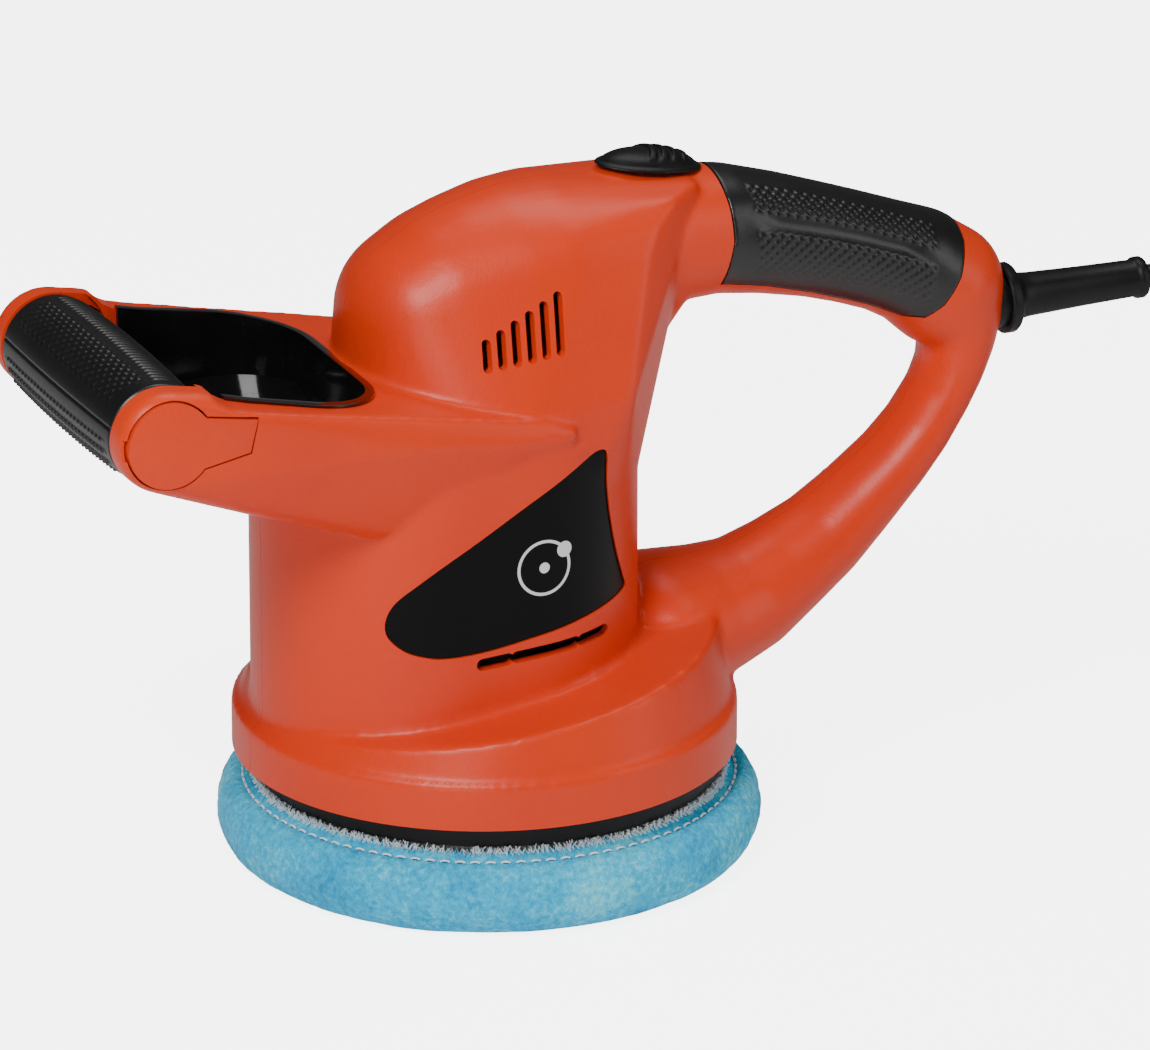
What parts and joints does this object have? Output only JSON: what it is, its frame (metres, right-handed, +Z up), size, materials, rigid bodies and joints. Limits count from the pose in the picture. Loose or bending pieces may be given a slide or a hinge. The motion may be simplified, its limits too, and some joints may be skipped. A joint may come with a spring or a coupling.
{
  "type": "dual action polisher",
  "caption": "Corded dual action car polisher with a rubber cross grip, a D-shaped rear handle, a thumb slide switch and a free-spinning round pad with a fleece bonnet.",
  "frame": {"origin": "on the motor axis, in the plane of the bonnet's working face", "axes": "+Z up along the motor axis, +X to the rear, where the D-handle and the cord are, -Y to the operator's left"},
  "size_m": [0.5095, 0.174, 0.2127],
  "materials": {
    "shell": "satin orange, fine spark texture",
    "liner": "gloss black",
    "grip": "matte black, textured",
    "black_plastic": "satin black",
    "badge": "smooth satin black",
    "steel": "machined",
    "iron": "laminated, oiled",
    "alloy": "die cast",
    "copper": "enamelled copper",
    "carbon": "carbon",
    "phenolic": "brown moulded",
    "brass": "bright",
    "wire": "insulated",
    "cord": "satin black jacket",
    "foam": "open foam",
    "fleece": "blue terry fleece"
  },
  "bodies": {
    "housing": {"housing_left": "shell", "housing_right": "shell", "front_liner": "liner", "front_grip_core": "steel", "front_grip_upper": "grip", "front_grip_lower": "grip", "grip_screws": "steel", "screw_cap_left": "shell", "screw_cap_right": "shell", "rear_grip": "grip", "badge_left": "badge", "badge_right": "badge", "housing_screws": "steel", "switch_body": "black_plastic", "supply_wires": "wire", "motor_wires": "wire", "cord_clamp": "black_plastic", "cord_clamp_screws": "steel", "strain_relief": "cord", "power_cord": "cord", "cord_coil": "cord", "cord_tail": "cord", "cord_tie": "black_plastic", "plug_body": "cord", "plug_blades": "brass", "stator_core": "iron", "field_coil_front": "copper", "field_coil_rear": "copper", "stator_screws": "steel", "brush_holders": "phenolic", "brushes": "carbon", "brush_springs": "steel", "upper_bearing_outer": "steel", "upper_bearing_balls": "steel", "bearing_plate": "alloy", "bearing_plate_screws": "steel", "lower_bearing_outer": "steel", "lower_bearing_balls": "steel"},
    "rotor": {"upper_bearing_inner": "steel", "lower_bearing_inner": "steel", "motor_shaft": "steel", "armature_core": "iron", "armature_windings": "copper", "commutator": "copper", "fan_counterweight": "alloy", "drive_bolt": "steel", "pad_bearing_outer": "steel", "pad_bearing_balls": "steel"},
    "pad": {"pad_bearing_inner": "steel", "pad_spindle": "steel", "platen": "black_plastic", "platen_bolt": "steel", "foam_pad": "foam", "bonnet": "fleece"},
    "switch": {"switch_button": "black_plastic"}
  },
  "joints": [
    {"name": "rotor_spin", "type": "hinge", "parent": "housing", "child": "rotor", "pos_m": [0, 0, 0.1], "axis": [0, 0, 1], "continuous": true},
    {"name": "pad_spin", "type": "hinge", "parent": "rotor", "child": "pad", "pos_m": [0.0025, 0.0025, 0.03], "axis": [0, 0, 1], "continuous": true},
    {"name": "switch_slide", "type": "slide", "parent": "housing", "child": "switch", "axis": [-0.9903, 0, 0.1392], "range_m": [0, 0.005]}
  ]
}
